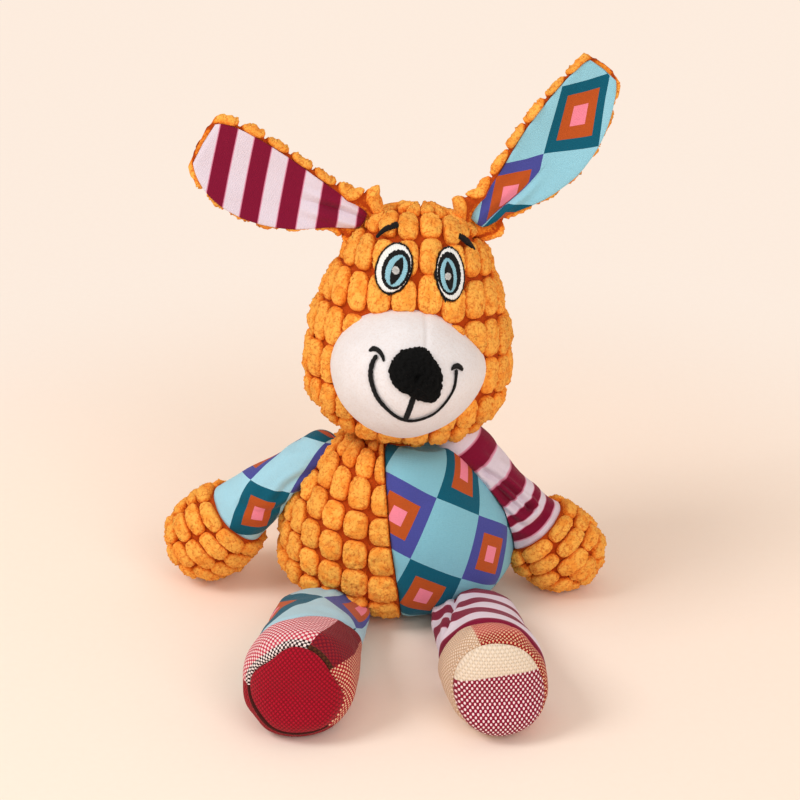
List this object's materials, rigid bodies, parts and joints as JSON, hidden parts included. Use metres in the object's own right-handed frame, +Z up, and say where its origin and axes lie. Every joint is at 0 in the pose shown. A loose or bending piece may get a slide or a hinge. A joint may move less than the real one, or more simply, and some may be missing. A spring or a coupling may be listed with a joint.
{
  "type": "squeaky plush dog toy",
  "caption": "Sitting plush dog toy with long ears, a white muzzle, patchwork sleeves and feet, stuffed with wadding round a squeaker.",
  "frame": {"origin": "Middle of the footprint, on the surface that the toy sits on.", "axes": "The toy faces -Y and its own left side is at +X; +Z is up."},
  "size_m": [0.177, 0.1616, 0.2112],
  "materials": {
    "orange_plush": "deep kernel plush",
    "black_plush": "short black plush",
    "white_velboa": "short white pile",
    "argyle_print": "printed woven cloth",
    "striped_print": "printed woven cloth",
    "linen_plaid": "woven plaid linen",
    "linen_cream": "woven linen",
    "sole_crimson": "plain linen weave",
    "sole_check": "two coloured linen weave",
    "black_thread": "satin embroidery",
    "white_thread": "satin embroidery",
    "blue_thread": "satin embroidery",
    "wadding": "loose polyester fibre",
    "squeaker_plastic": "blown soft plastic",
    "reed_plastic": "thin smooth strip"
  },
  "bodies": {
    "torso": {"squeaker_bulb": "squeaker_plastic", "squeaker_reed_holder": "squeaker_plastic", "body_right_cover": "orange_plush", "body_right_wadding": "wadding", "body_left_cover": "argyle_print", "body_left_wadding": "wadding"},
    "neck": {"neck_roll": "orange_plush"},
    "head": {"head_cover": "orange_plush", "muzzle_cover": "white_velboa", "head_wadding": "wadding", "nose": "black_plush", "mouth_stitch": "black_thread", "philtrum_stitch": "black_thread", "right_cheek_stitch": "black_thread", "left_cheek_stitch": "black_thread", "right_eye_outline": "black_thread", "right_eye_white": "white_thread", "right_eye_rim": "black_thread", "right_eye_iris": "blue_thread", "right_eye_pupil": "black_thread", "right_eye_glint": "white_thread", "left_eye_outline": "black_thread", "left_eye_white": "white_thread", "left_eye_rim": "black_thread", "left_eye_iris": "blue_thread", "left_eye_pupil": "black_thread", "left_eye_glint": "white_thread", "right_brow": "black_thread", "left_brow": "black_thread"},
    "right_ear": {"right_ear_back": "orange_plush", "right_ear_front": "striped_print"},
    "left_ear": {"left_ear_back": "orange_plush", "left_ear_front": "argyle_print"},
    "right_arm": {"right_arm_sleeve": "argyle_print", "right_hand": "orange_plush", "right_arm_wadding": "wadding"},
    "left_arm": {"left_arm_sleeve": "striped_print", "left_hand": "orange_plush", "left_arm_wadding": "wadding"},
    "right_leg": {"right_leg_cuff": "argyle_print", "right_foot_upper": "linen_plaid", "right_sole": "sole_crimson", "right_leg_wadding": "wadding"},
    "left_leg": {"left_leg_cuff": "striped_print", "left_foot_upper": "linen_cream", "left_sole": "sole_check", "left_leg_wadding": "wadding"},
    "reed": {"squeaker_reed": "reed_plastic"}
  },
  "joints": [
    {"name": "neck_turn", "type": "hinge", "parent": "torso", "child": "neck", "pos_m": [0.00371, 0.03768, 0.067], "axis": [0, 0, 1], "range_deg": [-35, 35]},
    {"name": "neck_nod", "type": "hinge", "parent": "neck", "child": "head", "pos_m": [0.00371, 0.03768, 0.067], "axis": [1, 0, 0], "range_deg": [-6, 20]},
    {"name": "right_ear_flop", "type": "hinge", "parent": "head", "child": "right_ear", "pos_m": [-0.00836, 0.05096, 0.14724], "axis": [-0.0682, 0.9826, -0.1728], "range_deg": [-38, 30]},
    {"name": "left_ear_flop", "type": "hinge", "parent": "head", "child": "left_ear", "pos_m": [0.03265, 0.05363, 0.14625], "axis": [0.0682, -0.9826, 0.1728], "range_deg": [-64, 22]},
    {"name": "right_shoulder_swing", "type": "hinge", "parent": "torso", "child": "right_arm", "pos_m": [-0.03179, 0.03568, 0.057], "axis": [0.1985, 0.9801, 0], "range_deg": [0, 60]},
    {"name": "left_shoulder_swing", "type": "hinge", "parent": "torso", "child": "left_arm", "pos_m": [0.03721, 0.03568, 0.057], "axis": [0.0634, -0.998, 0], "range_deg": [0, 60]},
    {"name": "right_hip_swing", "type": "hinge", "parent": "torso", "child": "right_leg", "pos_m": [-0.02029, 0.00168, 0.01], "axis": [-0.9829, 0.1843, 0], "range_deg": [-55, 45]},
    {"name": "left_hip_swing", "type": "hinge", "parent": "torso", "child": "left_leg", "pos_m": [0.02971, 0.00168, 0.01], "axis": [-0.9898, -0.1423, 0], "range_deg": [-55, 45]},
    {"name": "reed_flex", "type": "hinge", "parent": "torso", "child": "reed", "pos_m": [0.00171, 0.01898, 0.03], "axis": [1, 0, 0], "range_deg": [-6, 6], "stiffness_Nm_per_rad": 0.002}
  ]
}
